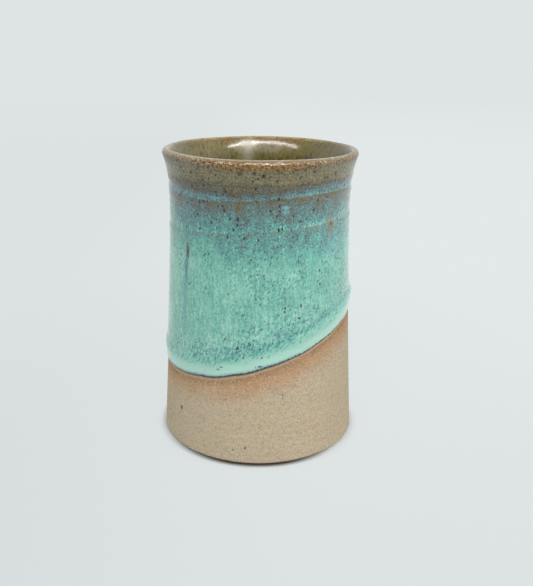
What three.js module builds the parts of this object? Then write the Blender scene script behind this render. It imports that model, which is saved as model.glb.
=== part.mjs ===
// A handmade stoneware tumbler: one thrown clay body under three fired coats of glaze.
// Millimetres, +Z up. The origin is the middle of the foot, on the table.
import * as THREE from "three";

// The clay body
const HEIGHT = 115; // table to the top of the glazed lip
const FOOT_RADIUS = 39.2; // the arris just above the table, the widest point of the cup
const FOOT_BEVEL = 1.2; // chamfer that undercuts the arris, as high as it is deep
const FOOT_RING_WIDTH = 10; // flat ring of bare clay that stands on the table
const FOOT_HOLLOW_DEPTH = 1.5; // turned out of the underside within that ring
const FOOT_HOLLOW_SLOPE = 3; // run of the slope between the ring and the hollow
const WAIST_HEIGHT = 94; // the narrowest point of the wall
const WAIST_RADIUS = 35; // there, over the glaze
const LIP_RADIUS = 37.3; // outside of the flared lip, over the glaze
const LIP_THICKNESS = 2.6; // bare clay at the lip, rounded over to a half circle
const WALL_THICKNESS = 4.6; // bare clay at the floor, thinning steadily up to the lip
const FLOOR_HEIGHT = 6.5; // table to the clay floor inside
const FLOOR_FILLET = 9; // the round between the floor and the wall
const TAPER_POWER = 1.25; // 1 is a straight taper from the foot to the waist, more is hollower
const FLARE_POWER = 2.8; // more keeps the flare closer to the lip

// The glaze coats
const BOND_GAP = 0.1; // hairline that keeps each coat a solid of its own
const LINER_GLAZE = 0.4; // thickness of the coat inside
const RIM_GLAZE = 0.4; // thickness of the coat over the lip
const OUTER_GLAZE = 0.4; // thickness of the coat outside, above its rolled edge
const RIM_BAND_OUTSIDE = 10.5; // how far the rim coat reaches down the outside of the lip
const RIM_BAND_INSIDE = 7; // how far it reaches down the inside, to the liner
const DIP_HEIGHT = 42.5; // where the plane of the slanted glaze line crosses the axis
const DIP_TILT = 17.7; // slope of that plane, in degrees
const DIP_BEARING = 17.6; // where the line is highest, in degrees from +X towards +Y
const ROLL_THICKNESS = 0.75; // the bead where the running glaze stopped
const ROLL_WIDTH = 8; // from the glaze line up to where the bead has thinned out
const ROLL_NOSE = 1.1; // the round end of the bead, down to the clay

// How finely the round surfaces are faceted
const SIDES = 56;
const TAPER_STEPS = 7;
const FLARE_STEPS = 5;
const LIP_STEPS = 6;
const FILLET_STEPS = 5;
const BAND_STEPS = 3;
const BEAD_STEPS = 3;
const NOSE_SHARES = [0.1, 0.35, 1]; // closer together where the nose turns in to the clay

const lipCoat = BOND_GAP + RIM_GLAZE;
const lipCentreHeight = HEIGHT - lipCoat - LIP_THICKNESS / 2;
const clayLipRadius = LIP_RADIUS - lipCoat;
const clayWaistRadius = WAIST_RADIUS - BOND_GAP - OUTER_GLAZE;
const filletTop = FLOOR_HEIGHT + FLOOR_FILLET;
const rimBandBottom = HEIGHT - RIM_BAND_OUTSIDE;
const rimBandInsideBottom = HEIGHT - RIM_BAND_INSIDE;

const { lerp, smoothstep, degToRad } = THREE.MathUtils;

// Evenly spaced values from one end to the other, both ends included.
function spaced(from, to, steps) {
  return Array.from({ length: steps + 1 }, (_, step) => lerp(from, to, step / steps));
}

// Heights up a wall that spans the waist, closer together in the flare, where it curves most.
function wallHeights(bottom, top) {
  const taper = spaced(bottom, WAIST_HEIGHT, TAPER_STEPS);
  const flare = spaced(WAIST_HEIGHT, top, FLARE_STEPS);
  return [...taper, ...flare.slice(1)];
}

// Radius of the bare clay outside: a hollow taper up to the waist, then the flare.
function outsideRadius(z) {
  if (z < WAIST_HEIGHT) {
    const share = (WAIST_HEIGHT - z) / (WAIST_HEIGHT - FOOT_BEVEL);
    return lerp(clayWaistRadius, FOOT_RADIUS, share ** TAPER_POWER);
  }
  const share = (z - WAIST_HEIGHT) / (lipCentreHeight - WAIST_HEIGHT);
  return lerp(clayWaistRadius, clayLipRadius, share ** FLARE_POWER);
}

// Radius of the bare clay inside, one wall thickness in from the outside.
function insideRadius(z) {
  const share = (z - FLOOR_HEIGHT) / (lipCentreHeight - FLOOR_HEIGHT);
  return outsideRadius(z) - lerp(WALL_THICKNESS, LIP_THICKNESS, share);
}

// The outlines below are lists of (radius, height), offset from the bare clay by a coat's depth.
function outsideOutline(heights, depth) {
  return heights.map((z) => new THREE.Vector2(outsideRadius(z) + depth, z));
}

function insideOutline(heights, depth) {
  return heights.map((z) => new THREE.Vector2(insideRadius(z) - depth, z));
}

// A quarter or half circle, from one angle to another.
function arcOutline(radius, height, size, from, to, steps) {
  return spaced(from, to, steps).map(
    (angle) => new THREE.Vector2(radius + size * Math.cos(angle), height + size * Math.sin(angle)),
  );
}

// The half circle over the lip, without its two ends, which belong to the walls.
function lipOutline(depth) {
  const middle = outsideRadius(lipCentreHeight) - LIP_THICKNESS / 2;
  const size = LIP_THICKNESS / 2 + depth;
  return arcOutline(middle, lipCentreHeight, size, 0, Math.PI, LIP_STEPS).slice(1, -1);
}

// From the axis out over the floor, round the fillet and up the inside wall.
function bowlOutline(top, depth) {
  const filletCentre = insideRadius(filletTop) - FLOOR_FILLET;
  const size = FLOOR_FILLET - depth;
  return [
    new THREE.Vector2(0, FLOOR_HEIGHT + depth),
    ...arcOutline(filletCentre, filletTop, size, -Math.PI / 2, 0, FILLET_STEPS).slice(0, -1),
    ...insideOutline(wallHeights(filletTop, top), depth),
  ];
}

// Turns an outline round the axis. It runs anticlockwise, with the solid on its left.
function turned(outline) {
  return new THREE.LatheGeometry(outline, SIDES).rotateX(Math.PI / 2);
}

// Carries a closed section once round the axis; the section may change with the angle.
function carriedRound(sectionAt) {
  const positions = [];
  const triangles = [];
  let count = 0;
  for (let side = 0; side < SIDES; side += 1) {
    const angle = (2 * Math.PI * side) / SIDES;
    const section = sectionAt(angle);
    count = section.length;
    for (const point of section) {
      positions.push(point.x * Math.cos(angle), point.x * Math.sin(angle), point.y);
    }
  }
  for (let side = 0; side < SIDES; side += 1) {
    const here = side * count;
    const next = ((side + 1) % SIDES) * count;
    for (let step = 0; step < count; step += 1) {
      const above = (step + 1) % count;
      triangles.push(here + step, next + step, next + above);
      triangles.push(here + step, next + above, here + above);
    }
  }
  const geometry = new THREE.BufferGeometry();
  geometry.setAttribute("position", new THREE.Float32BufferAttribute(positions, 3));
  geometry.setIndex(triangles);
  return geometry;
}

// The thrown clay: hollowed foot, bevel, tapering wall, rounded lip, inside wall and floor.
function clayBody() {
  const ringOuter = FOOT_RADIUS - FOOT_BEVEL;
  const ringInner = ringOuter - FOOT_RING_WIDTH;
  return turned([
    new THREE.Vector2(0, FOOT_HOLLOW_DEPTH),
    new THREE.Vector2(ringInner - FOOT_HOLLOW_SLOPE, FOOT_HOLLOW_DEPTH),
    new THREE.Vector2(ringInner, 0),
    new THREE.Vector2(ringOuter, 0),
    ...outsideOutline(wallHeights(FOOT_BEVEL, lipCentreHeight), 0),
    ...lipOutline(0),
    ...bowlOutline(lipCentreHeight, 0).reverse(),
  ]);
}

// The liner lies on the floor and the inside wall, up to the rim coat.
function linerGlaze() {
  const top = rimBandInsideBottom - BOND_GAP;
  const underside = bowlOutline(top, BOND_GAP);
  const face = bowlOutline(top, BOND_GAP + LINER_GLAZE);
  return turned([...underside, ...face.reverse()]);
}

// The rim coat saddles the lip.
function rimGlaze() {
  const saddle = (depth) => [
    ...outsideOutline(spaced(rimBandBottom, lipCentreHeight, BAND_STEPS), depth),
    ...lipOutline(depth),
    ...insideOutline(spaced(lipCentreHeight, rimBandInsideBottom, BAND_STEPS), depth),
  ];
  const section = [...saddle(lipCoat), ...saddle(BOND_GAP).reverse()];
  return carriedRound(() => section);
}

// Height of the slanted glaze line, where the plane of the dip meets the wall.
function glazeLine(angle) {
  const reach = outsideRadius(DIP_HEIGHT) * Math.tan(degToRad(DIP_TILT));
  return DIP_HEIGHT + reach * Math.cos(angle - degToRad(DIP_BEARING));
}

// Thickness of the outer coat above its edge: a round nose, the fat bead, then an even coat.
function coatThickness(rise) {
  const nose = Math.sqrt(1 - (1 - Math.min(rise / ROLL_NOSE, 1)) ** 2);
  const bead = 1 - smoothstep(rise, ROLL_NOSE, ROLL_WIDTH);
  return nose * lerp(OUTER_GLAZE, ROLL_THICKNESS, bead);
}

// The outer coat hangs from the rim coat down to the slanted line.
function outerGlaze() {
  const top = rimBandBottom - BOND_GAP;
  const noseRises = NOSE_SHARES.map((share) => share * ROLL_NOSE);
  const beadRises = spaced(ROLL_NOSE, ROLL_WIDTH, BEAD_STEPS).slice(1, -1);
  const sectionAt = (angle) => {
    const edge = glazeLine(angle);
    const lowHeights = [...noseRises, ...beadRises].map((rise) => edge + rise);
    const heights = [...lowHeights, ...wallHeights(edge + ROLL_WIDTH, top)];
    const back = outsideOutline([edge, ...heights], BOND_GAP);
    const face = outsideOutline(heights, BOND_GAP);
    for (const point of face) {
      point.x += coatThickness(point.y - edge);
    }
    return [...face, ...back.reverse()];
  };
  return carriedRound(sectionAt);
}

const pieces = {
  clay_body: [clayBody(), { color: 0xb8a586, roughness: 0.85, metalness: 0 }],
  liner_glaze: [linerGlaze(), { color: 0x7a7250, roughness: 0.12, metalness: 0 }],
  rim_glaze: [rimGlaze(), { color: 0x7d6c46, roughness: 0.2, metalness: 0 }],
  outer_glaze: [outerGlaze(), { color: 0x7eb8a8, roughness: 0.25, metalness: 0 }],
};

const tumbler = new THREE.Group();
for (const [name, [geometry, finish]] of Object.entries(pieces)) {
  const mesh = new THREE.Mesh(geometry, new THREE.MeshStandardMaterial(finish));
  mesh.name = name;
  tumbler.add(mesh);
}

export default tumbler;
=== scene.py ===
# %% [markdown]
# # Dressing a stoneware tumbler
# The frame holds four plain solids of a handmade cup: the clay body and three coats of glaze. This lesson
# gives them their looks. Each solid is replaced by a finer surface of the same size, worked out with numpy,
# and each surface gets a finish made of shader nodes. Everything is in metres, in the frame of the solids.

# %% Load the frame
import math
from types import SimpleNamespace

import bpy
import numpy as np
from mathutils import Matrix, Vector


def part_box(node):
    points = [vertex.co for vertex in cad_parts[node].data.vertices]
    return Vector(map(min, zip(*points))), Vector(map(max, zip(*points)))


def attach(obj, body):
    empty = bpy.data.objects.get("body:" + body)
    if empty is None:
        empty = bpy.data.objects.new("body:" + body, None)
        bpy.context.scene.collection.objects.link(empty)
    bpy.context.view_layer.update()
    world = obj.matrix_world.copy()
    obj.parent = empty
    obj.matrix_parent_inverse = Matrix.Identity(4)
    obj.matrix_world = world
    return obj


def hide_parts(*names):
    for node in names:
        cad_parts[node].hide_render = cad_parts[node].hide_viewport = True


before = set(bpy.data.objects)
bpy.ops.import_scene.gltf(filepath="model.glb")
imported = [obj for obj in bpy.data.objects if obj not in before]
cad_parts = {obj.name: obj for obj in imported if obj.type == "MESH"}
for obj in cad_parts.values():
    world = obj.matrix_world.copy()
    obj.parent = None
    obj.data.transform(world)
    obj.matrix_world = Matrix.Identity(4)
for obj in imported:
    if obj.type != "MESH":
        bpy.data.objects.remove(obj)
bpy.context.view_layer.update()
print("solids:", ", ".join(sorted(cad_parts)))

# %% [markdown]
# ## Sizes
# The overall sizes are read from the solids, so that the fine surfaces cannot drift away from them. Those
# that a box does not give, such as the height of the waist, are repeated here from the model. Only the bead
# of the outer coat is made fuller and wider here.

# %% Sizes of the cup
MM = 0.001
_, clay_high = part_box("clay_body")
rim_low, rim_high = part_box("rim_glaze")
liner_low, liner_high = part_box("liner_glaze")

HEIGHT = rim_high.z
FOOT_RADIUS = clay_high.x
LIP_RADIUS = rim_high.x
RIM_BAND_BOTTOM = rim_low.z
RIM_INSIDE_BOTTOM = liner_high.z
COAT = 0.5 * MM
FOOT_BEVEL = 1.2 * MM
FOOT_RING_WIDTH = 10 * MM
FOOT_HOLLOW_DEPTH = 1.5 * MM
FOOT_HOLLOW_SLOPE = 3 * MM
WAIST_HEIGHT = 94 * MM
WAIST_RADIUS = 35 * MM
LIP_THICKNESS = 2.6 * MM
WALL_THICKNESS = 4.6 * MM
FLOOR_HEIGHT = liner_low.z
FLOOR_FILLET = 9 * MM
TAPER_POWER = 1.25
FLARE_POWER = 2.8
DIP_HEIGHT = 42.5 * MM
DIP_TILT = math.radians(17.7)
DIP_BEARING = math.radians(17.6)
ROLL_THICKNESS = 1.2 * MM
ROLL_CROWN = 6.2 * MM
ROLL_WIDTH = 9.6 * MM
ROLL_NOSE = 1.1 * MM

lip_centre_height = HEIGHT - COAT - LIP_THICKNESS / 2
clay_lip_radius = LIP_RADIUS - COAT
clay_waist_radius = WAIST_RADIUS - COAT
print(f"cup {HEIGHT / MM:.1f} mm tall")
print(f"foot {2 * FOOT_RADIUS / MM:.1f} mm and lip {2 * LIP_RADIUS / MM:.1f} mm wide")

# %% [markdown]
# ## Camera
# A camera could be dragged into place by eye. Here its lens, place and turn come from fitting circles of the
# cup's rim and foot to the photograph, so the render can be laid over it. The small roll stands for a camera
# that was not quite level.

# %% Camera at the photograph's viewing angle
IMAGE_HEIGHT = 586
FOCAL_PIXELS = 720
SENSOR = 36
CAMERA_PLACE = Vector((0, -278.0, 150.5)) * MM
CAMERA_PITCH = math.radians(18.754)
CAMERA_YAW = math.radians(0.622)
CAMERA_ROLL = math.radians(-0.772)

forward = Vector((
    math.sin(CAMERA_YAW) * math.cos(CAMERA_PITCH),
    math.cos(CAMERA_YAW) * math.cos(CAMERA_PITCH),
    -math.sin(CAMERA_PITCH),
))
level = Vector((math.cos(CAMERA_YAW), -math.sin(CAMERA_YAW), 0))
upright = level.cross(forward)
camera_right = level * math.cos(CAMERA_ROLL) - upright * math.sin(CAMERA_ROLL)
camera_up = level * math.sin(CAMERA_ROLL) + upright * math.cos(CAMERA_ROLL)

camera_data = bpy.data.cameras.new("camera")
camera_data.sensor_width = SENSOR
camera_data.lens = FOCAL_PIXELS / IMAGE_HEIGHT * SENSOR
camera = bpy.data.objects.new("camera", camera_data)
turn = Matrix((camera_right, camera_up, -forward)).transposed().to_4x4()
camera.matrix_world = Matrix.Translation(CAMERA_PLACE) @ turn
bpy.context.scene.collection.objects.link(camera)
bpy.context.scene.camera = camera
bpy.context.scene.view_settings.view_transform = "Standard"
print(f"camera with a {camera_data.lens:.1f} mm lens")

# %% [markdown]
# ## Shader sums as Python
# A finish is a web of nodes, and wiring it by hand is slow to read. This small class holds one output of a
# node. Sums written with it add Math nodes, and its one method adds any other node: its settings first, then
# the values or wires of its sockets.


# %% A socket that can be used in a sum
class Wire:
    """One output socket. Arithmetic on it adds a Math node to the same material."""

    def __init__(self, tree, socket=None):
        self.tree = tree
        self.socket = socket

    def node(self, kind, settings, sockets, output=0):
        """Adds a node of any kind and returns one of its outputs, if it has any."""
        made = self.tree.nodes.new(kind)
        for name, value in settings.items():
            if name == "stops":
                lay_stops(made.color_ramp.elements, value)
            else:
                setattr(made, name, value)
        for name, value in sockets.items():
            if isinstance(value, Wire):
                self.tree.links.new(value.socket, made.inputs[name])
            else:
                made.inputs[name].default_value = value
        return Wire(self.tree, made.outputs[output] if made.outputs else None)

    def math(self, operation, *values):
        """Adds a Math node that works on the values in order."""
        return self.node("ShaderNodeMath", {"operation": operation}, dict(enumerate(values)))

    def __add__(self, other):
        return self.math("ADD", self, other)

    def __sub__(self, other):
        return self.math("SUBTRACT", self, other)

    def __rsub__(self, other):
        return self.math("SUBTRACT", other, self)

    def __mul__(self, other):
        return self.math("MULTIPLY", self, other)

    __radd__ = __add__
    __rmul__ = __mul__


def lay_stops(elements, stops):
    """Gives a colour ramp its stops, each a place from 0 to 1 and a colour."""
    while len(elements) < len(stops):
        elements.new(1)
    for element, (place, colour) in zip(elements, stops):
        element.position = place
        element.color = colour


# %% [markdown]
# A few words are used by every finish: a colour written as it looks on a screen, a soft step, a mix of two
# colours, a coordinate in millimetres, and the start and end of a material. Color Ramps could do some of
# that work, but a step with its two ends written beside it is easier to read.


# %% Words for finishes
def seen(red, green, blue):
    """A colour given as screen values from 0 to 255, as the linear light that a shader needs."""
    values = np.array([red, green, blue]) / 255
    linear = np.where(values <= 0.04045, values / 12.92, ((values + 0.055) / 1.055) ** 2.4)
    return (*map(float, linear), 1.0)


def step(value, low, high):
    """0 below low, 1 above high, and a smooth rise between. Low may be the greater of the two."""
    sockets = {"Value": value, "From Min": low, "From Max": high}
    return value.node("ShaderNodeMapRange", {"interpolation_type": "SMOOTHSTEP"}, sockets)


def mixed(first, second, share):
    """The first colour where share is 0 and the second where it is 1."""
    settings = {"data_type": "RGBA", "clamp_factor": True}
    return share.node("ShaderNodeMix", settings, {0: share, 6: first, 7: second}, 2)


def part(place, axis):
    """One coordinate of a place, in millimetres."""
    return place.node("ShaderNodeSeparateXYZ", {}, {0: place}, axis) * (1 / MM)


def shaded(colour, factor):
    """A colour made lighter or darker by a factor."""
    return factor.node("ShaderNodeVectorMath", {"operation": "SCALE"}, {0: colour, "Scale": factor})


def finish(name):
    """A new material, and the object coordinates that its patterns read."""
    material = bpy.data.materials.new(name)
    material.use_nodes = True
    material.node_tree.nodes.clear()
    place = Wire(material.node_tree).node("ShaderNodeTexCoord", {}, {}, "Object")
    return material, place


def close(shader, kind="ShaderNodeOutputMaterial"):
    """Ends a web of nodes in its output."""
    shader.node(kind, {}, {"Surface": shader})


print(f"a screen grey of 128 is {seen(128, 128, 128)[0]:.3f} of the light of white")

# %% [markdown]
# ## Floor and light
# The cup stands in a light tent that is pale all round. Two soft lamps light it, and two more, a wide strip
# and a square above the camera, show only in the gloss of the lip and of the liner's back. More lamps could
# make the paper pale, but they would bleach the cup as well. So only near the cup does the floor keep some
# of its own light, with a faint shadow. The dark line under the front of the foot is a painted shadow in
# the floor's colour, and the paper is painted darker towards the front and the left as painted shade.
# Further out the camera is shown the paper's colour unlit, on the floor and behind it, so there is no
# horizon. The floor's patterns are in millimetres from the middle of the foot.

# %% Floor
PALE = seen(227, 232, 232)
PAINTED_FLOOR_SHADE = seen(214, 220, 221)
PAINTED_FOOT_SHADOW = seen(92, 86, 76)
BACKDROP = seen(222, 227, 227)
FLOOR_SIZE = 3.0

floor_mesh = bpy.data.meshes.new("floor")
corners = FLOOR_SIZE * np.array([(-1, -1, 0), (1, -1, 0), (1, 1, 0), (-1, 1, 0)])
floor_mesh.from_pydata(corners.tolist(), [], [(0, 1, 2, 3)])
floor = bpy.data.objects.new("floor", floor_mesh)
bpy.context.scene.collection.objects.link(floor)
print(f"floor {2 * FLOOR_SIZE:.0f} m wide")

# %% Paper of the floor
paper, place = finish("paper")
across = part(place, "X")
shade_towards_front = step(part(place, "Y"), 100, -130)
shade_towards_left = step(across, 40, -160)
far = place.node("ShaderNodeVectorMath", {"operation": "LENGTH"}, {0: place}, "Value") * (1 / MM)
# Painted shade: the paper darkens towards the front and towards the left.
tone = mixed(PALE, PAINTED_FLOOR_SHADE, shade_towards_front * 0.4 + shade_towards_left * 0.55)
tone = mixed(tone, BACKDROP, step(far, 500, 2500))
# Painted shadow: a dark line on the floor under the front of the foot, weaker on the left.
foot_shadow_side = step(part(place, "Y"), -16, -34) * step(across, 36, 8) * (0.5 + step(across, -32, -8) * 0.5)
tone = mixed(tone, PAINTED_FOOT_SHADOW, step(far, 41.4, 38.6) * foot_shadow_side)
lit = tone.node("ShaderNodeBsdfDiffuse", {}, {"Color": tone})
by_camera = place.node("ShaderNodeLightPath", {}, {}, "Is Camera Ray")
by_gloss = place.node("ShaderNodeLightPath", {}, {}, "Is Glossy Ray")
brightness = 1 + by_gloss * (0.12 + step(across, 20, 140) * 0.2)
shown = tone.node("ShaderNodeEmission", {}, {"Color": shaded(tone, brightness)})
pale_share = step(far, 38.8, 42.6) * 0.86 + step(far, 90, 260) * 0.14
close(tone.node("ShaderNodeMixShader", {}, {0: pale_share * (by_camera + by_gloss), 1: lit, 2: shown}))
floor_mesh.materials.append(paper)
print("paper:", len(paper.node_tree.nodes), "nodes")

# %% Light tent
TENT_COLOUR = (0.96, 0.985, 1.0, 1.0)
TENT_STRENGTH = 0.66

world = bpy.data.worlds.new("tent")
world.use_nodes = True
world.node_tree.nodes.clear()
sky = Wire(world.node_tree)
by_camera = sky.node("ShaderNodeLightPath", {}, {}, "Is Camera Ray")
by_gloss = sky.node("ShaderNodeLightPath", {}, {}, "Is Glossy Ray")
direction = sky.node("ShaderNodeTexCoord", {}, {}, "Generated")
backward = direction.node("ShaderNodeSeparateXYZ", {}, {0: direction}, "Y")
walls = 0.5 + step(backward, -0.7, 0.1) * 0.85
tent = sky.node("ShaderNodeBackground", {}, {"Color": TENT_COLOUR, "Strength": TENT_STRENGTH})
mirrored = sky.node("ShaderNodeBackground", {}, {"Color": TENT_COLOUR, "Strength": walls})
backdrop = sky.node("ShaderNodeBackground", {}, {"Color": BACKDROP})
lining = sky.node("ShaderNodeMixShader", {}, {0: by_gloss, 1: tent, 2: mirrored})
close(sky.node("ShaderNodeMixShader", {}, {0: by_camera, 1: lining, 2: backdrop}), "ShaderNodeOutputWorld")
bpy.context.scene.world = world
print("tent of strength", TENT_STRENGTH)


# %% Lamps
def lamp(name, place, size, power):
    """A flat soft lamp that faces the cup. Its place and its two sides are in metres, its power in watts."""
    data = bpy.data.lights.new(name, "AREA")
    data.shape = "RECTANGLE"
    data.size, data.size_y = size
    data.energy = power
    lamp_object = bpy.data.objects.new(name, data)
    aim = Vector((0, 0, HEIGHT / 2)) - Vector(place)
    turn = aim.to_track_quat("-Z", "Y").to_matrix().to_4x4()
    lamp_object.matrix_world = Matrix.Translation(place) @ turn
    bpy.context.scene.collection.objects.link(lamp_object)
    return lamp_object


lamp("front_soft", (0.1, -1.0, 0.9), (1.6, 0.8), 7.5)
lamp("right_panel", (1.0, -0.45, 0.5), (0.9, 1.1), 2.0)
shining = [
    lamp("front_strip", (-0.05, -0.8, 0.8), (2.1, 0.05), 14),
    lamp("front_square", (0.24, -0.75, 0.76), (0.34, 0.26), 3.5),
]
for lamp_object in shining:
    lamp_object.visible_diffuse = False
print("2 lamps for light and", len(shining), "for gloss")

# %% [markdown]
# ## Thrown form
# A cup is turned, so a lathe or a Screw modifier could make it. A grid of points does the same and lets the
# wall differ round the cup: sections run along the rows, and the angle round the axis runs down the columns.
# Potters' fingers leave marks, and glaze runs and gathers in them, so the marks are part of the shape.

# %% Grid helpers
SIDES = 400
SHARP = math.radians(40)
angle = np.linspace(-np.pi, np.pi, SIDES, endpoint=False)[:, None]


def wander(slowest, fastest, seed):
    """A closed wobble round the cup, about -1 to 1: cosines of whole turns, of seeded sizes and phases."""
    draw = np.random.default_rng(seed)
    turns = np.arange(slowest, fastest + 1)
    sizes = draw.normal(size=turns.size) / np.sqrt(turns)
    phases = draw.uniform(0, 2 * np.pi, turns.size)
    waves = sizes * np.cos(angle[..., None] * turns + phases)
    return waves.sum(-1) / np.sqrt((sizes**2).sum())


def soft_step(value, low, high):
    """0 below low, 1 above high, and the cubic 3t^2 - 2t^3 between."""
    share = np.clip((value - low) / (high - low), 0, 1)
    return share**2 * (3 - 2 * share)


def round_grid(radius, height):
    """Points from radius and height at every angle: (r cos a, r sin a, z)."""
    radius, height, turn = np.broadcast_arrays(radius, height, angle)
    return np.stack([radius * np.cos(turn), radius * np.sin(turn), height], axis=-1)


print(SIDES, "sections round the cup")


# %% Skin over a grid
def skin(name, grid, ends_on_axis):
    """A closed mesh over a grid that goes round the axis. Its sections either start and end near the axis,
    where a fan of triangles closes each end in one point, or close on themselves as a ring does."""
    sides, count = grid.shape[:2]
    number = np.arange(sides * count).reshape(sides, count)
    following = np.roll(number, -1, axis=0)
    vertices = grid.reshape(-1, 3)
    corners = [number, following, np.roll(following, -1, axis=1), np.roll(number, -1, axis=1)]
    quads = np.stack(corners, axis=-1)
    faces = quads[:, : count - 1 if ends_on_axis else count].reshape(-1, 4).tolist()
    if ends_on_axis:
        first_pole = np.full(sides, len(vertices))
        faces += np.stack([first_pole, following[:, 0], number[:, 0]], axis=1).tolist()
        faces += np.stack([first_pole + 1, number[:, -1], following[:, -1]], axis=1).tolist()
        vertices = np.concatenate([vertices, grid[:, 0].mean(0)[None], grid[:, -1].mean(0)[None]])
    mesh = bpy.data.meshes.new(name)
    mesh.from_pydata(vertices.tolist(), [], faces)
    mesh.shade_smooth()
    mesh.set_sharp_from_angle(angle=SHARP)
    piece = bpy.data.objects.new(name, mesh)
    bpy.context.scene.collection.objects.link(piece)
    print(f"{name}: {len(mesh.vertices)} points, {len(mesh.polygons)} faces")
    return piece


def note(piece, name, values):
    """Stores one number for each point of the grid, for a finish to read by name; poles get their mean."""
    flat = np.broadcast_to(values, (SIDES, values.shape[-1])).ravel()
    spare = len(piece.data.vertices) - flat.size
    flat = np.concatenate([flat, np.full(spare, flat.mean())])
    piece.data.attributes.new(name, "FLOAT", "POINT").data.foreach_set("value", flat.astype(np.float32))


# %% Wall of bare clay
def clay_outside(z):
    """Radius of the wall: a hollow taper from the foot up to the waist, then a flare to the lip."""
    below = np.clip((WAIST_HEIGHT - z) / (WAIST_HEIGHT - FOOT_BEVEL), 0, None)
    above = np.clip((z - WAIST_HEIGHT) / (lip_centre_height - WAIST_HEIGHT), 0, None)
    taper = (FOOT_RADIUS - clay_waist_radius) * below**TAPER_POWER
    flare = (clay_lip_radius - clay_waist_radius) * above**FLARE_POWER
    return clay_waist_radius + taper + flare


def clay_inside(z):
    """Radius inside: the outside less a wall that thins steadily from the floor to the lip."""
    share = (z - FLOOR_HEIGHT) / (lip_centre_height - FLOOR_HEIGHT)
    return clay_outside(z) - WALL_THICKNESS - (LIP_THICKNESS - WALL_THICKNESS) * share


print(f"wall radius at the waist {clay_outside(WAIST_HEIGHT) / MM:.2f} mm")

# %% Finger marks
UPPER_LEDGE = 101.5 * MM
UPPER_SWING = 1.4 * MM
UPPER_PHASE = math.radians(82)
LOWER_LEDGE = 90.1 * MM
LOWER_SWING = 2.8 * MM
LOWER_PHASE = math.radians(85)
GROOVE_DEPTH = 0.16 * MM
GROOVE_ABOVE = 1.1 * MM
GROOVE_WIDTH = 1.2 * MM
RIDGE_HEIGHT = 0.14 * MM
RIDGE_BELOW = 1.7 * MM
RIDGE_WIDTH = 1.7 * MM
FADE_AT_FOOT = (2 * MM, 8 * MM)
FADE_AT_LIP = (HEIGHT - 4 * MM, HEIGHT - 9 * MM)
SPIRAL_HEIGHT = 0.03 * MM
SPIRAL_PITCH = 3.1 * MM
LINE_WOBBLE = 0.12 * MM
LINE_SWING = 0.65 * MM


def ledge_heights():
    """Heights of the two finger ledges under the lip, which swing up and down round the cup as sines do."""
    upper = UPPER_LEDGE + UPPER_SWING * np.sin(2 * (angle + UPPER_PHASE))
    lower = LOWER_LEDGE + LOWER_SWING * np.sin(angle + LOWER_PHASE)
    return upper, lower


def finger_marks(z):
    """How far the marks stand proud of the plain wall: under each ledge a ridge, above it a groove, as bell
    curves of the height, and all the way up a faint spiral. They fade out at the foot and at the lip."""
    marks = SPIRAL_HEIGHT * np.sin(2 * np.pi * z / SPIRAL_PITCH + angle)
    for ledge in ledge_heights():
        above = z - ledge
        marks = marks - GROOVE_DEPTH * np.exp(-(((above - GROOVE_ABOVE) / GROOVE_WIDTH) ** 2))
        marks = marks + RIDGE_HEIGHT * np.exp(-(((above + RIDGE_BELOW) / RIDGE_WIDTH) ** 2))
    return marks * soft_step(z, *FADE_AT_FOOT) * soft_step(z, *FADE_AT_LIP)


def wall(z):
    """Radius of the clay outside with its finger marks."""
    return clay_outside(z) + finger_marks(z)


def glaze_line():
    """Height of the slanted glaze line, where the plane of the dip meets the wall, with a slight wobble."""
    reach = clay_outside(DIP_HEIGHT) * math.tan(DIP_TILT)
    wobble = LINE_WOBBLE * wander(5, 24, 4) + LINE_SWING * np.cos(2 * angle)
    return DIP_HEIGHT + reach * np.cos(angle - DIP_BEARING) + wobble


def note_ledges(piece, z):
    """Stores the height over each ledge, in millimetres, for the pools of glaze."""
    for name, ledge in zip(("upper", "lower"), ledge_heights()):
        note(piece, name, (z - ledge) / MM)


print(f"glaze line from {glaze_line().min() / MM:.1f} to {glaze_line().max() / MM:.1f} mm high")

# %% [markdown]
# ## Clay body
# The clay is one lump: a foot with a bevelled edge, the wall, the lip and the inside. Its section could be
# drawn as a curve by hand. Here it is a chain of runs and arcs, from the middle of the underside, out, up,
# over the lip and back down to the floor, so it stays right when a size changes.


# %% Clay body
def run(start, end, count):
    """A straight run of (radius, height) points, without its last point."""
    return np.linspace(start, end, count, endpoint=False)


def arc(centre, size, begin, end, count):
    """Part of a circle from one angle to another, in degrees, without its last point."""
    turn = np.radians(np.linspace(begin, end, count, endpoint=False))
    return np.stack([centre[0] + size * np.cos(turn), centre[1] + size * np.sin(turn)], axis=1)


def up_the_wall(radius_at, low, high, count):
    """Points along a wall whose radius is a function of the height."""
    z = np.linspace(low, high, count, endpoint=False)
    return np.stack([radius_at(z), z], axis=1)


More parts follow.
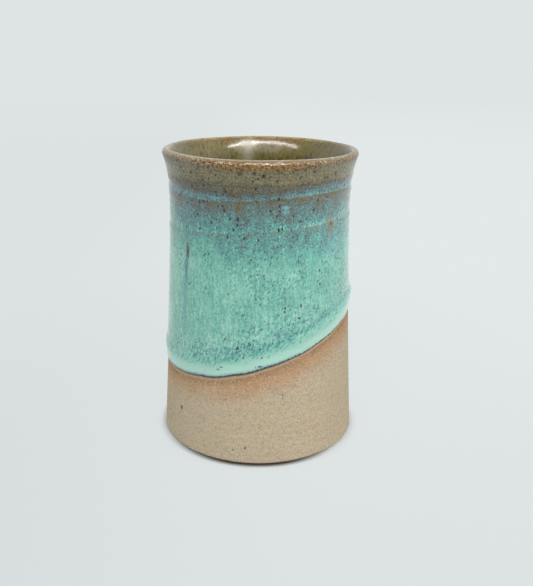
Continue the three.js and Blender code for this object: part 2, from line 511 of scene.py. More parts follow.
ARRIS = 0.4 * MM
POLE_RADIUS = 0.5 * MM
ring_outer = FOOT_RADIUS - FOOT_BEVEL
ring_inner = ring_outer - FOOT_RING_WIDTH
hollow_edge = ring_inner - FOOT_HOLLOW_SLOPE
fillet_top = FLOOR_HEIGHT + FLOOR_FILLET
fillet_centre = clay_inside(fillet_top) - FLOOR_FILLET
lip_middle = clay_lip_radius - LIP_THICKNESS / 2
clay_section = np.concatenate([
    run((POLE_RADIUS, FOOT_HOLLOW_DEPTH), (hollow_edge, FOOT_HOLLOW_DEPTH), 14),
    run((hollow_edge, FOOT_HOLLOW_DEPTH), (ring_inner, 0), 5),
    run((ring_inner, 0), (ring_outer, 0), 10),
    run((ring_outer, 0), (FOOT_RADIUS - ARRIS, FOOT_BEVEL - ARRIS), 6),
    arc((FOOT_RADIUS - ARRIS, FOOT_BEVEL), ARRIS, -75, 0, 5),
    up_the_wall(clay_outside, FOOT_BEVEL, lip_centre_height, 150),
    arc((lip_middle, lip_centre_height), LIP_THICKNESS / 2, 0, 180, 8),
    up_the_wall(clay_inside, lip_centre_height, fillet_top, 24),
    arc((fillet_centre, fillet_top), FLOOR_FILLET, 0, -90, 8),
    run((fillet_centre, FLOOR_HEIGHT), (POLE_RADIUS, FLOOR_HEIGHT), 8),
])
clay_radius, clay_height = clay_section.T
outside = np.arange(clay_height.size) < clay_height.argmax()
marks = np.where(outside, finger_marks(clay_height), 0)
clay = skin("clay_body_fired", round_grid(clay_radius + marks, clay_height), ends_on_axis=True)
note(clay, "rise", (clay_height - glaze_line()) / MM)

# %% [markdown]
# ## Glaze coats
# Glaze is a skin of glass. Each coat is a closed ring or bowl whose back is sunk a little into the clay, so
# no gap shows, and whose face stands off by the depth of the coat. The outer coat ends in a round nose and a
# fat bead where the melt stopped running. Solidify could thicken a sheet, but it cannot make that bead.

# %% Outer coat
SUNK = 0.08 * MM
LAP = 0.6 * MM
BACK_TUCK = 0.3 * MM
UNEVENNESS = 0.18


def coat_depth(rise):
    """Depth of the outer coat over its edge: a round nose, the bead with its crown, then an even coat."""
    nose = np.sqrt(1 - (1 - np.clip(rise / ROLL_NOSE, 0, 1)) ** 2)
    bead = soft_step(rise, -ROLL_NOSE, ROLL_CROWN) * (1 - soft_step(rise, ROLL_CROWN, ROLL_WIDTH))
    fullness = ROLL_THICKNESS * (1 + UNEVENNESS * wander(3, 18, 9)) - COAT
    return nose * (COAT + fullness * bead)


outer_top = RIM_BAND_BOTTOM + LAP
nose_rise = ROLL_NOSE * (1 - np.cos(np.linspace(0, np.pi / 2, 9)))
coat_share = np.linspace(0, 1, 170)[1:]
edge = glaze_line()
coat_rise = ROLL_NOSE + coat_share * (outer_top - edge - ROLL_NOSE)
face_height = np.concatenate([edge + nose_rise, edge + coat_rise], axis=1)
face_radius = wall(face_height) + coat_depth(face_height - edge)
back_height = outer_top + (edge + BACK_TUCK - outer_top) * np.linspace(0, 1, 12)
back_radius = wall(back_height) - SUNK
outer_radius = np.concatenate([face_radius, back_radius], axis=1)
outer_height = np.concatenate([face_height, back_height], axis=1)
outer = skin("outer_glaze_dipped", round_grid(outer_radius, outer_height), ends_on_axis=False)
note(outer, "rise", (outer_height - edge) / MM)
note_ledges(outer, outer_height)


# %% Rim coat
def inner_lip(depth, count):
    """From the crest down the inside: a quarter ellipse, sheared to meet the wall at the wall's slope."""
    turn = np.linspace(np.pi / 2, 0, count)
    foot = clay_inside(RIM_INSIDE_BOTTOM) - depth
    slope = (clay_inside(RIM_INSIDE_BOTTOM + MM) - clay_inside(RIM_INSIDE_BOTTOM)) / MM
    tall = lip_centre_height + LIP_THICKNESS / 2 + depth - RIM_INSIDE_BOTTOM
    wide = lip_middle - foot - slope * tall
    radius = foot + wide * (1 - np.cos(turn)) + slope * tall * np.sin(turn)
    return np.stack([radius, RIM_INSIDE_BOTTOM + tall * np.sin(turn)], axis=1)


def saddle(depth, outside_count, lip_count, inside_count):
    """The line over the lip at some depth of coat: up the outside, round the lip, down the inside."""
    return np.concatenate([
        up_the_wall(clay_outside, RIM_BAND_BOTTOM, lip_centre_height, outside_count) + (depth, 0),
        arc((lip_middle, lip_centre_height), LIP_THICKNESS / 2 + depth, 0, 90, lip_count),
        inner_lip(depth, inside_count),
    ])


PROUD = 0.015 * MM
LIP_WAVE = 0.1 * MM
LIP_WAVE_REACH = 5 * MM
OUTSIDE_POINTS = 40
rim_face = saddle(COAT + PROUD, OUTSIDE_POINTS, 16, 40)
rim_back = saddle(-SUNK, 8, 6, 10)[::-1]
rim_radius, rim_height = np.concatenate([rim_face, rim_back]).T
crest = rim_face[:, 1].argmax()
past_crest = soft_step(np.arange(len(rim_face)), crest - 3, crest + 3)
on_inside = np.concatenate([past_crest, np.zeros(len(rim_back))])
marks = np.where(np.arange(rim_height.size) < OUTSIDE_POINTS, finger_marks(rim_height), 0)
lip_wave = LIP_WAVE * wander(2, 7, 14) * soft_step(rim_height, HEIGHT - LIP_WAVE_REACH, HEIGHT)
rim = skin("rim_glaze_fired", round_grid(rim_radius + marks, rim_height + lip_wave), ends_on_axis=False)
note(rim, "rise", (rim_height - edge) / MM)
note_ledges(rim, rim_height)
note(rim, "inside", on_inside)


# %% Liner
def bowl(depth, wall_count, top):
    """The line inside the cup at some depth of coat: down the wall, round the fillet, in to the axis."""
    return np.concatenate([
        up_the_wall(clay_inside, top, fillet_top, wall_count) - (depth, 0),
        arc((fillet_centre, fillet_top), FLOOR_FILLET - depth, 0, -90, 16),
        run((fillet_centre, FLOOR_HEIGHT + depth), (POLE_RADIUS, FLOOR_HEIGHT + depth), 16),
    ])


liner_face = bowl(COAT, 90, RIM_INSIDE_BOTTOM + LAP)
liner_back = bowl(-SUNK, 12, RIM_INSIDE_BOTTOM + LAP)[::-1]
liner_radius, liner_height = np.concatenate([liner_back, liner_face]).T
liner = skin("liner_glaze_poured", round_grid(liner_radius, liner_height), ends_on_axis=True)

# %% [markdown]
# ## Bare clay
# Fired stoneware is dry and warm grey, full of fine pale, dark and brick-red grains. Just under the glaze
# line it is brown for a few millimetres, and an orange flash from the glaze's vapour fades out downwards. A
# few iron grains melted into dark specks. A painted image would need the wall unrolled and would show a
# seam. Noise in the cup's own space, with its grain in millimetres, has none.


# %% Patterns with a grain in millimetres
def noted(place, name):
    """A number that was stored on the points of the piece."""
    return place.node("ShaderNodeAttribute", {"attribute_name": name}, {}, "Fac")


def stretched(place, across, along, shift):
    """Object coordinates in units of the grain: across the wall and along it, in millimetres."""
    scale = (1 / (across * MM), 1 / (across * MM), 1 / (along * MM))
    sockets = {0: place, 1: scale, 2: (shift, shift, shift)}
    return place.node("ShaderNodeVectorMath", {"operation": "MULTIPLY_ADD"}, sockets)


def cloud(place, across, along, shift, detail=2.0, warp=0.0):
    """Soft noise round 0, about -0.3 to 0.3. Shift picks another part of it, and warp makes it swirl."""
    vector = stretched(place, across, along, shift)
    sockets = {"Vector": vector, "Scale": 1, "Detail": detail, "Distortion": warp}
    return place.node("ShaderNodeTexNoise", {}, sockets, "Fac") - 0.5


def specks(place, spacing, size, shift, along=1.0):
    """1 inside scattered grains and 0 between them: balls round the points of a Voronoi pattern."""
    sockets = {"Vector": stretched(place, spacing, spacing * along, shift), "Scale": 1}
    distance = place.node("ShaderNodeTexVoronoi", {}, sockets, "Distance")
    return step(distance, size * 1.3, size * 0.7)


# %% Spots at one place
def away(place, coat, bearing, height, wide, tall):
    """Distance from a spot of the outside, counted in ovals: 1 on the given oval round the spot. The bearing
    is in degrees from +X; the height, half width and half height are in millimetres."""
    radius = clay_outside(height * MM) + coat
    turn = math.radians(bearing)
    centre = np.array([radius * math.cos(turn), radius * math.sin(turn), height * MM])
    scale = 1 / (np.array([wide, wide, tall]) * MM)
    sockets = {0: place, 1: scale.tolist(), 2: (-centre * scale).tolist()}
    offset = place.node("ShaderNodeVectorMath", {"operation": "MULTIPLY_ADD"}, sockets)
    return place.node("ShaderNodeVectorMath", {"operation": "LENGTH"}, {0: offset}, "Value")


def nearest(place, coat, spots):
    """Distance from the nearest of several spots, in the same measure."""
    distance = away(place, coat, *spots[0])
    for spot in spots[1:]:
        distance = distance.math("MINIMUM", distance, away(place, coat, *spot))
    return distance


# %% Shader of a piece
def surfaced(colour, settings, bump, depth):
    """Closes a finish with a Principled shader; bump is a height pattern that is depth metres deep."""
    normal = bump.node("ShaderNodeBump", {}, {"Height": bump, "Distance": depth})
    sockets = {"Base Color": colour, "Normal": normal, **settings}
    close(colour.node("ShaderNodeBsdfPrincipled", {}, sockets))


# %% Finish of the clay
CLAY = seen(190, 173, 147)
CLAY_GREY = seen(178, 168, 148)
CLAY_WARM = seen(190, 168, 136)
FLASH_ORANGE = seen(182, 138, 98)
BROWN_UNDER_EDGE = seen(148, 120, 88)
FLASH_EDGE = seen(204, 182, 154)
GRAIN_PALE = seen(210, 192, 164)
GRAIN_BRICK = seen(170, 116, 86)
GRAIN_DARK = seen(136, 116, 92)
IRON = seen(58, 52, 44)
IRON_SPOTS = [
    (-141.6, 16.4, 0.7, 1.0),
    (-152.7, 10, 0.45, 0.5),
    (-97, 7.1, 0.45, 0.5),
    (-76, 28.4, 0.35, 0.4),
]

clay_finish, place = finish("clay")
under = noted(place, "rise") * -1
grain = cloud(place, 0.55, 0.55, 1.0, 3.0)
blush = cloud(place, 6, 3.5, 3.0)
colour = mixed(CLAY, CLAY_GREY, step(blush, 0.0, -0.25) * 0.6)
colour = mixed(colour, CLAY_WARM, step(blush, 0.0, 0.25) * 0.6)
reach = under + cloud(place, 9, 6, 7.0) * 8 + grain * 7 + step(part(place, "X"), 4, -24) * 2
colour = mixed(colour, FLASH_ORANGE, step(reach, 15, 2) * 0.9)
colour = mixed(colour, BROWN_UNDER_EDGE, step(under + blush * 3 + grain * 4, 4.5, 0.6) * 0.85)
colour = mixed(colour, FLASH_EDGE, step(under, 0.2, 0.5) * step(under, 1.4, 0.9) * 0.45)
colour = mixed(colour, GRAIN_PALE, step(grain, 0.02, 0.22) * 0.5)
colour = mixed(colour, GRAIN_DARK, step(grain, -0.02, -0.22) * 0.6)
colour = mixed(colour, GRAIN_BRICK, specks(place, 1.5, 0.14, 4.0) * 0.5)
colour = mixed(colour, GRAIN_PALE, specks(place, 2.3, 0.12, 6.0) * 0.6)
colour = mixed(colour, GRAIN_DARK, specks(place, 1.7, 0.12, 8.0) * 0.5)
colour = shaded(colour, 1 + cloud(place, 1.8, 1.1, 12.0) * 0.3 + cloud(place, 20, 0.9, 5.0) * 0.18)
colour = mixed(colour, IRON, specks(place, 6.5, 0.055, 2.0) * 0.9)
iron = nearest(place, 0, IRON_SPOTS) + cloud(place, 0.5, 0.8, 31.0) * 2
colour = mixed(colour, IRON, step(iron, 1.3, 0.5) * 0.85)
pits = grain + cloud(place, 0.2, 0.2, 9.0) * 0.6
surfaced(colour, {"Roughness": 0.85, "Specular IOR Level": 0.2}, pits, 0.1 * MM)
clay.data.materials.append(clay_finish)
print("clay finish:", len(clay_finish.node_tree.nodes), "nodes")

# %% [markdown]
# ## Glaze that breaks with its depth
# The outer glaze changes colour with its depth: thin, it is olive brown; thicker, it goes through slate and
# blue to turquoise; and where it gathers in the bead it is pale mint. Each zone could have its own mask, but
# real zones run into one another. So one number, the depth, is built up from the height on the wall, the
# ledges and several clouds, and one ramp turns it into colour. The tent's reflection lightens a gloss, so
# each colour is written as it looks, and the sheen is taken off.

# %% Colours of the glaze
SHEEN = 0.036


def glazed(red, green, blue):
    """The colour under the gloss that looks like the given one: its light less the sheen of the tent."""
    linear = np.clip(np.array(seen(red, green, blue)[:3]) - SHEEN, 0.004, 1)
    return (*map(float, linear), 1.0)


BY_DEPTH = [
    (0.0, glazed(128, 121, 95)),
    (0.14, glazed(102, 97, 80)),
    (0.28, glazed(105, 117, 115)),
    (0.42, glazed(105, 141, 143)),
    (0.56, glazed(106, 162, 154)),
    (0.78, glazed(128, 191, 172)),
    (0.88, glazed(151, 206, 188)),
    (1.0, glazed(186, 222, 205)),
]
LIP_CRUST = [
    (0.2, glazed(78, 56, 34)),
    (0.36, glazed(140, 97, 40)),
    (0.5, glazed(142, 114, 60)),
    (0.62, glazed(150, 134, 90)),
    (0.8, glazed(188, 176, 140)),
]
PAINTED_CREST_HIGHLIGHT = glazed(168, 162, 128)
OCHRE = glazed(116, 104, 70)
LAVENDER = glazed(98, 144, 162)
BROWN = glazed(114, 104, 88)
BROWN_PALE = glazed(140, 134, 118)
SKY = glazed(112, 154, 166)
SPECK_DARK = glazed(58, 50, 50)
SPECK_RUST = glazed(100, 66, 50)
SPOT = glazed(68, 50, 44)
DASH = glazed(66, 92, 86)
PLUM = glazed(84, 96, 116)
STREAK = glazed(68, 138, 128)
DEEP = glazed(82, 128, 124)
PAINTED_LEDGE_HIGHLIGHT = glazed(160, 184, 170)
EDGE_BLUE = glazed(120, 172, 186)
EDGE_DARK_AND_SHADE = glazed(84, 78, 74)
print(len(BY_DEPTH), "colours from thin to thick glaze")

# %% [markdown]
# Some marks are the cup's own: a long run down the left, a brown patch with a drip on the right, a few
# spots. Each is an oval, given by its bearing from +X in degrees, then its height, half width and half
# height in millimetres. A stain has a colour and a share as well; the dark spots all have the same colour.

# %% Single marks in the glaze
STAINS = [
    (-139.6, 60, 1.3, 19, glazed(108, 156, 166), 0.5),
    (-138.6, 74, 1.2, 6, glazed(84, 116, 138), 0.65),
    (-137.6, 80, 0.8, 2.8, glazed(88, 70, 60), 0.95),
    (-97.8, 100.1, 2.4, 0.9, glazed(112, 98, 70), 0.45),
    (-84.4, 100.2, 2.2, 0.8, glazed(112, 98, 70), 0.45),
    (-102.5, 98.6, 0.9, 1.6, glazed(118, 98, 56), 0.8),
    (-75.2, 98.6, 1.3, 0.9, glazed(128, 186, 192), 0.7),
    (-75, 97, 1.6, 0.9, glazed(122, 178, 186), 0.55),
    (-43, 90.4, 2.6, 4, glazed(138, 118, 98), 0.7),
    (-42, 84, 2.2, 5, glazed(116, 140, 160), 0.45),
    (-112.8, 38.1, 1.0, 0.5, glazed(50, 116, 108), 0.8),
    (-111.4, 39.2, 1.0, 0.5, glazed(50, 116, 108), 0.8),
    (-89, 40.3, 1.1, 0.5, glazed(78, 84, 108), 0.85),
    (-79, 52, 1.4, 1.4, glazed(120, 128, 140), 0.5),
]
DARK_SPOTS = [
    (-93.1, 110.7, 0.45, 0.6),
    (-88.3, 109.8, 0.55, 0.7),
    (-91.2, 108.9, 0.4, 0.4),
    (-100.9, 110.7, 0.4, 0.4),
    (-123.8, 107.5, 0.45, 0.45),
    (-131.8, 109.4, 0.4, 0.5),
    (-43, 109.6, 0.45, 0.5),
    (-79, 99.3, 0.4, 0.45),
    (-102.5, 94.4, 0.4, 0.8),
    (-43, 91, 0.4, 0.6),
    (-127.5, 89.5, 0.45, 0.5),
    (-65, 62.4, 0.4, 0.6),
    (-74.9, 62.2, 0.35, 0.4),
    (-75.2, 60.8, 0.35, 0.5),
    (-66.2, 57.9, 0.38, 0.45),
    (-101.8, 47.1, 0.35, 0.6),
]
print(len(STAINS), "stains and", len(DARK_SPOTS), "dark spots")

# %% [markdown]
# Melted glaze runs down the wall, so its patterns are longer than they are wide, and some lean. In the sums
# that follow, the two ends of a step are millimetres: under the lip for drop, over the glaze line for rise,
# from the axis for right and over a ledge for ledge. A factor is a share or a strength.


# %% Patterns of a glaze that ran
def ramp(value, stops):
    """The colour at a value, along stops that are each a place from 0 to 1 and a colour."""
    return value.node("ShaderNodeValToRGB", {"stops": stops}, {0: value}, "Color")


def leaning(place, lean):
    """Object coordinates that slide sideways with the height, so a pattern leans right as it rises."""
    height = place.node("ShaderNodeSeparateXYZ", {}, {0: place}, "Z")
    slide = place.node("ShaderNodeCombineXYZ", {}, {"X": height * -lean})
    return place.node("ShaderNodeVectorMath", {"operation": "ADD"}, {0: place, 1: slide})


def threads(place, across, along, shift):
    """Short crooked threads: the lines where a swirling cloud passes 0, broken up by another cloud."""
    swirl = cloud(place, across, along, shift, 1.0, 1.2)
    line = step(swirl.math("ABSOLUTE", swirl), 0.11, 0.03)
    return line * step(cloud(place, across * 1.3, along * 1.3, shift + 20), -0.02, 0.12)


# %% Where a point of the outside lies
def outside_places(place):
    """The lengths in millimetres and the shares from 0 to 1 that the finish of the outside is built from."""
    right = part(place, "X")
    drop = HEIGHT / MM - part(place, "Z")
    rise = noted(place, "rise")
    on_right = step(right, 4, 18)
    on_left = step(right, -8, -22)
    clear = step(right, 0, -18) * step(drop, 32, 44) * step(rise, 12, 20)
    comets = rise - on_right * 1.2 + cloud(leaning(place, 0.8), 0.65, 4.5, 33.0) * (9 - on_right * 4)
    return SimpleNamespace(
        right=right,
        drop=drop,
        rise=rise,
        on_right=on_right,
        on_left=on_left,
        upper_ledge=noted(place, "upper"),
        lower_ledge=noted(place, "lower"),
        olive=step(drop, 15, 10),
        mottled=step(drop, 10, 15) * step(drop, 42, 24) * (1 - on_left * step(drop, 22, 28) * 0.5),
        busy=step(rise, 5, 8) * step(rise, 20, 9) * (1 - on_right * 0.4),
        crowd=step(cloud(place, 7, 9, 10.0), -0.14, 0.12) * (1 - clear * 0.8),
        comets=comets,
        bead=step(comets, 7.1, 6.2),
        flecks=threads(leaning(place, 0.22), 0.62, 1.1, 12.0),
    )


# %% Depth of the outer glaze
def pooled(place, above, reach, hold, rough, shift):
    """Glaze gathered for some reach over a ledge and drawn thin under it; above is the height over it."""
    ragged = above + cloud(place, 1.0, 0.8, shift, 3.0) * rough
    gathered = step(ragged, -0.2, 0.3) * step(ragged, reach, 0.5)
    drawn = step(ragged, 0.2, -0.3) * step(ragged, -4.5, -0.4)
    return gathered * hold - drawn * hold * 0.4


def glaze_depth(place, at):
    """Depth of the glaze, from 0 where it drew thin to 1 in the bead."""
    sunk = at.drop + at.on_right * 1.5 + at.on_left * 0.8
    depth = step(at.drop, 7.2, 9.2) * 0.14 + step(sunk, 11.5, 16) * 0.18
    depth = depth + step(at.drop, 15, 26) * 0.23 + step(at.drop, 26, 42) * 0.27
    depth = depth + at.on_left * step(at.drop, 23, 30) * step(at.drop, 46, 36) * 0.08
    rough = 1.2 + at.on_left * 1.2
    hold = 0.13 + at.on_right * 0.11 + at.on_left * 0.05 + cloud(place, 2.4, 30, 2.0) * 0.4
    depth = depth + pooled(place, at.upper_ledge, 4.4, hold, rough, 5.0)
    depth = depth + pooled(place, at.lower_ledge, 3.4, hold * (0.5 - at.on_right * 0.1), rough, 15.0)
    depth = depth + cloud(place, 4, 6, 8.0) * (0.3 + at.mottled * 0.2)
    depth = depth + cloud(place, 0.9, 7, 3.0) * step(at.drop, 14, 24) * 0.32
    grain = cloud(place, 0.5, 0.65, 6.0)
    depth = depth + grain * (0.25 + at.mottled) * step(at.drop, 9, 15) + step(at.rise, 24, 14) * 0.03
    depth = depth - at.flecks * (0.1 + at.crowd * 0.2 + at.busy * 0.12) * step(at.drop, 10, 16)
    in_bead = 0.86 + step(at.rise, 7.5, 2.5) * 0.12 + grain * 0.1
    return depth + (in_bead - depth) * at.bead


# %% Flecks, dashes and streaks
def flecked(colour, place, at):
    """The glaze with blue flecks, dark dashes that lean with the run, and teal streaks into the bead."""
    open_glaze = 1 - at.bead
    bluish = at.flecks * (0.1 + at.crowd * 0.34 + at.busy * 0.62)
    bluish = bluish + step(cloud(place, 1.4, 2.4, 21.0), 0.06, 0.22) * at.crowd * 0.3
    colour = mixed(colour, LAVENDER, bluish * step(at.drop, 11, 16) * open_glaze)
    deep = threads(leaning(place, 0.3), 0.5, 0.85, 70.0) * (0.4 + at.crowd * 0.4 + at.busy * 0.05)
    colour = mixed(colour, DEEP, deep * step(at.drop, 18, 30) * open_glaze)
    tone = mixed(DASH, SPECK_RUST, step(cloud(place, 1.3, 1.3, 30.0), 0.0, 0.1) * 0.6)
    tone = mixed(tone, PLUM, at.busy * 0.6)
    dashes = specks(leaning(place, 0.3), 1.15, 0.16, 24.0, 1.8)
    dashes = dashes + specks(leaning(place, 0.4), 1.9, 0.15, 34.0, 2.2)
    dashes = dashes * (0.2 + at.crowd * 0.6 + at.busy * 0.15)
    colour = mixed(colour, tone, dashes * step(at.drop, 15, 20) * open_glaze)
    rare_dashes = specks(leaning(place, 0.35), 2.4, 0.1, 14.0, 2.6)
    colour = mixed(colour, DASH, rare_dashes * step(at.drop, 24, 34) * step(at.rise, 5, 9) * 0.8)
    streaks = threads(leaning(place, 0.8), 0.5, 3.0, 40.0) * step(at.rise, 4, 6) * step(at.rise, 10, 7.5)
    shore = step(at.comets, 6.6, 7.4) * step(at.comets, 10, 8)
    return mixed(colour, STREAK, streaks * 0.75 + shore * (0.05 + at.on_right * 0.2))


# %% Stains along the ledges
def ledged(colour, depth, place, at):
    """The glaze with blue over the upper ledge, brown and ochre under them, a painted highlight along both.
    """
    over = step(at.upper_ledge, -0.3, 0.4) * step(at.upper_ledge, 5, 1)
    colour = mixed(colour, SKY, over * step(depth, 0.25, 0.5) * 0.15)
    worn = step(at.lower_ledge, -12, -3) * step(at.lower_ledge, 2, -1)
    worn = worn + step(at.upper_ledge, -10, -3) * step(at.upper_ledge, 1, -1)
    worn = worn * step(cloud(place, 2.2, 2.0, 19.0), -0.1, 0.14)
    colour = mixed(colour, BROWN, threads(place, 0.8, 1.0, 50.0) * worn * 0.75)
    under = step(at.upper_ledge, -5, -2) * step(at.upper_ledge, 0.5, -0.5)
    colour = mixed(colour, OCHRE, under * step(cloud(place, 3.0, 1.2, 9.0), 0.0, 0.16) * 0.4)
    # Painted highlight: a pale line along each ledge on the right side.
    for ledge in (at.upper_ledge, at.lower_ledge):
        line = step(ledge.math("ABSOLUTE", ledge), 0.4, 0.1)
        colour = mixed(colour, PAINTED_LEDGE_HIGHLIGHT, line * at.on_right * 0.3)
    line = step(at.lower_ledge, -1.6, -0.8) * step(at.lower_ledge, 0.2, -0.5)
    return mixed(colour, BROWN_PALE, line * step(cloud(place, 2.6, 4, 52.0), -0.12, 0.1) * 0.5)


# %% Mottle and specks
def specked(colour, place, at):
    """The glaze with a fine mottle, rings in the olive, iron specks, and painted light on its right side."""
    mottle = cloud(place, 0.55, 0.6, 16.0) * (0.35 + at.mottled * 1.5 + at.olive * 2.7)
    rings = cloud(place, 30, 0.8, 18.0) * at.olive
    # Painted light: the middle band of the glaze is made paler on its right side.
    painted_light_right = step(at.right, 10, 24) * step(at.drop, 10, 14) * step(at.drop, 46, 32)
    colour = shaded(colour, 1 + mottle * (1 - at.bead) + rings * 0.8 + painted_light_right * 0.2)
    fine_dots = step(cloud(place, 0.6, 0.75, 44.0, 1.0), 0.12, 0.2) * 0.5
    dots = fine_dots.math("MAXIMUM", fine_dots, specks(place, 2.5, 0.18, 46.0, 1.25) * 0.9)
    colour = mixed(colour, SPECK_DARK, dots * step(at.drop + (at.on_left + at.on_right) * 6, 42, 24))
    rare = step(cloud(place, 6, 6, 11.0), -0.05, 0.1) * step(at.drop, 16, 24)
    return mixed(colour, SPECK_RUST, specks(place, 2.9, 0.13, 8.0, 1.3) * rare * 0.85)


# %% Lip, single marks and the edge of the coat
def lip_ends(right, drop):
    """1 at the left and right ends of the lip."""
    return step(right.math("ABSOLUTE", right), 22, 33) * step(drop, 7, 1)


def towards_ends(right):
    """0 in the middle of the lip, front and back, rising to 1 towards its left and right ends."""
    return step(right.math("ABSOLUTE", right), 10, 28)


def crusted(colour, place, at):
    """The glaze with its rust crust over the lip, a narrower one towards the ends, a painted highlight
    along the crest, and painted shade at the lip's ends.
    """
    crust = cloud(place, 0.75, 0.6, 4.0, 3.0)
    aside = towards_ends(at.right)
    rust = ramp(crust * (1.6 + aside * 1.2) + 0.44, LIP_CRUST)
    colour = mixed(colour, rust, step(at.drop + crust * 6 + aside * 1.3, 4.2, 2.6))
    # Painted highlight: a pale line along the crest of the lip.
    colour = mixed(colour, PAINTED_CREST_HIGHLIGHT, step(at.drop + crust * 5, 0.6, 0.1) * 0.4)
    # Painted shade: the left and right ends of the lip are darkened a little.
    return shaded(colour, 1 - lip_ends(at.right, at.drop) * 0.2)


def marked(colour, place, at):
    """The glaze with its single marks, and the thin line where the coat ends on the clay."""
    ragged = cloud(place, 0.5, 0.8, 31.0) * 2
    for *oval, stain, share in STAINS:
        colour = mixed(colour, stain, step(away(place, COAT, *oval) + ragged, 1.3, 0.5) * share)
    colour = mixed(colour, SPOT, step(nearest(place, COAT, DARK_SPOTS) + ragged, 1.3, 0.8) * 0.9)
    ragged_rise = at.rise + cloud(place, 0.8, 0.8, 13.0) * 1.4
    colour = mixed(colour, EDGE_BLUE, step(ragged_rise, 1.9, 1.0) * step(at.right, 30, 6) * 0.8)
    # The dark line where the coat ends is partly iron in the glaze and partly painted shade under the bead.
    return mixed(colour, EDGE_DARK_AND_SHADE, step(ragged_rise, 1.1, 0.65))


# %% Finish of the outer glaze
def outside_colour(place):
    """Colour of the glazed outside, the same sum on both coats, so that no seam shows between them."""
    at = outside_places(place)
    depth = glaze_depth(place, at)
    colour = flecked(ramp(depth, BY_DEPTH), place, at)
    colour = ledged(colour, depth, place, at)
    colour = specked(colour, place, at)
    colour = crusted(colour, place, at)
    return marked(colour, place, at)


GLAZE_IOR = 1.55
GLOSS = {"Roughness": 0.14, "IOR": GLAZE_IOR, "Sheen Weight": 0.1, "Sheen Roughness": 0.4}
outer_finish, place = finish("outer_glaze")
surfaced(outside_colour(place), GLOSS, cloud(place, 1.1, 1.6, 2.0), 0.05 * MM)
outer.data.materials.append(outer_finish)
print("outer glaze:", len(outer_finish.node_tree.nodes), "nodes")

# %% [markdown]
# ## Liner and rim
# Such a cup is filled with glaze and emptied again, which leaves runs down the inside. The rim coat goes
# over the lip, so it looks like the outer glaze on one side and like the liner on the other. Two materials
# could meet along the crest, but one that mixes both by a number on its points leaves no hard line there.


# %% Glaze of the inside
DULL_RUN_PLACE = -5.4


def dull_run_and_sheen(place):
    """1 along one dull run at the back of the liner, fading out downwards and to its sides."""
    across = part(place, "X") - DULL_RUN_PLACE
    fading = step(HEIGHT / MM - part(place, "Z"), 45, 15) * step(part(place, "Y"), 0, 15)
    return step(across.math("ABSOLUTE", across), 4.5, 0) * fading


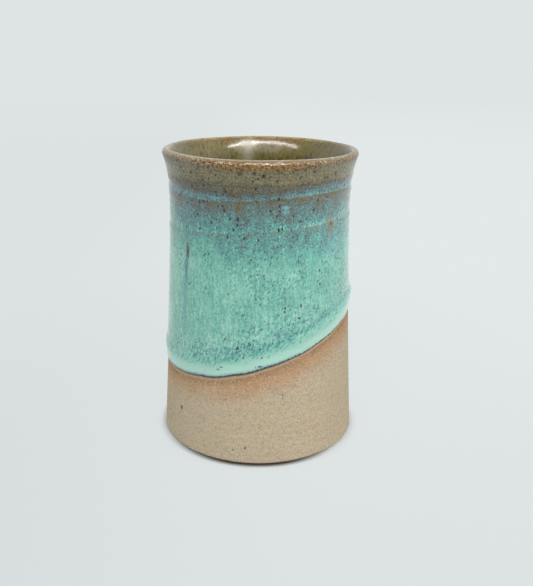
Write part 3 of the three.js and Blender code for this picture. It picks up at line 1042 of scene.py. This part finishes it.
def inside_colour(place):
    """Colour of the liner: olive glass with vertical runs, rust where it drew thin at the lip, painted
    shade deeper down and at the lip's ends, and a painted highlight on the crest and along one run.
    """
    drop = HEIGHT / MM - part(place, "Z")
    right = part(place, "X")
    runs = cloud(place, 2.0, 16, 5.0)
    blots = cloud(place, 1.2, 1.8, 4.0, 3.0)
    # Painted shade: the olive is darker further down inside the cup.
    tone = mixed(glazed(134, 123, 70), glazed(102, 95, 46), step(drop, 4, 13))
    tone = mixed(tone, glazed(150, 141, 92), step(runs, 0.05, 0.22) * 0.3)
    tone = mixed(tone, glazed(96, 76, 42), step(runs, -0.1, -0.24) * 0.6)
    tone = mixed(tone, glazed(82, 74, 40), step(blots, -0.03, -0.16) * 0.7)
    tone = mixed(tone, glazed(152, 140, 92), step(blots, 0.05, 0.18) * 0.5)
    # Painted reflection: a pale smear along the dull run, where the highlight spreads downwards.
    tone = mixed(tone, glazed(172, 168, 146), dull_run_and_sheen(place) * 0.5)
    rust = mixed(glazed(160, 120, 70), glazed(124, 98, 58), step(blots, 0.08, -0.1))
    ragged = blots * 6 + cloud(place, 3.5, 2.5, 7.0) * 9
    tone = mixed(tone, rust, step(drop + ragged + towards_ends(right) * 2.2, 4.5, 0.5) * 0.75)
    # Painted highlight: pale glints along the crest of the lip.
    tone = mixed(tone, glazed(206, 190, 150), step(drop + blots * 4, 0.9, 0.2) * 0.6)
    # Painted shade darkens the ends of the lip; the inside is also made darker towards the right.
    return shaded(tone, 1 - lip_ends(right, drop) * 0.3 - step(right, 10, 26) * 0.15)


def inside_roughness(place):
    """Clear glass, duller on the right, at the ends and in one run down the back."""
    right = part(place, "X")
    ends = step(right.math("ABSOLUTE", right), 27, 33)
    return 0.15 + dull_run_and_sheen(place) * 0.16 + ends * 0.15 + step(right, -3, 1) * 0.04


def liner_waves(place):
    """Heights of the liner: long vertical runs."""
    return cloud(place, 5, 18, 4.0) * 0.4


# %% Finish of the rim
rim_finish, place = finish("rim_glaze")
inside = noted(place, "inside")
drop = HEIGHT / MM - part(place, "Z")
ends = lip_ends(part(place, "X"), drop)
knobbly = cloud(place, 1.1, 0.8, 4.0, 1.0) * (2.2 - ends * 1.6)
waves = knobbly + (liner_waves(place) - knobbly) * inside
dull = 0.14 + ends * 0.26
roughness = dull + (inside_roughness(place) - dull) * inside
sparkle = step(cloud(place, 0.7, 0.5, 61.0), 0.06, 0.11) * step(drop, 4, 2.5) * (1 - ends) * (1 - inside)
settings = {
    "Roughness": roughness,
    "IOR": GLAZE_IOR,
    "Coat Weight": sparkle,
    "Coat Roughness": 0.03,
    "Coat IOR": 1.75,
}
surfaced(mixed(outside_colour(place), inside_colour(place), inside), settings, waves, 0.15 * MM)
rim.data.materials.append(rim_finish)
print("rim glaze:", len(rim_finish.node_tree.nodes), "nodes")

# %% Finish of the liner
liner_finish, place = finish("liner_glaze")
settings = {"Roughness": inside_roughness(place), "IOR": GLAZE_IOR}
surfaced(inside_colour(place), settings, liner_waves(place), 0.1 * MM)
liner.data.materials.append(liner_finish)
print("liner glaze:", len(liner_finish.node_tree.nodes), "nodes")

# %% [markdown]
# ## Hand over
# Every piece rides on the one body and stands for its plain solid. The table also names the material slot
# of the record that each piece belongs to.

# %% Ride and replace
DRESSED = {
    "clay_body": (clay, "clay"),
    "liner_glaze": (liner, "liner_glaze"),
    "rim_glaze": (rim, "rim_glaze"),
    "outer_glaze": (outer, "outer_glaze"),
}
for node, (piece, slot) in DRESSED.items():
    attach(piece, "root")
    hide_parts(node)
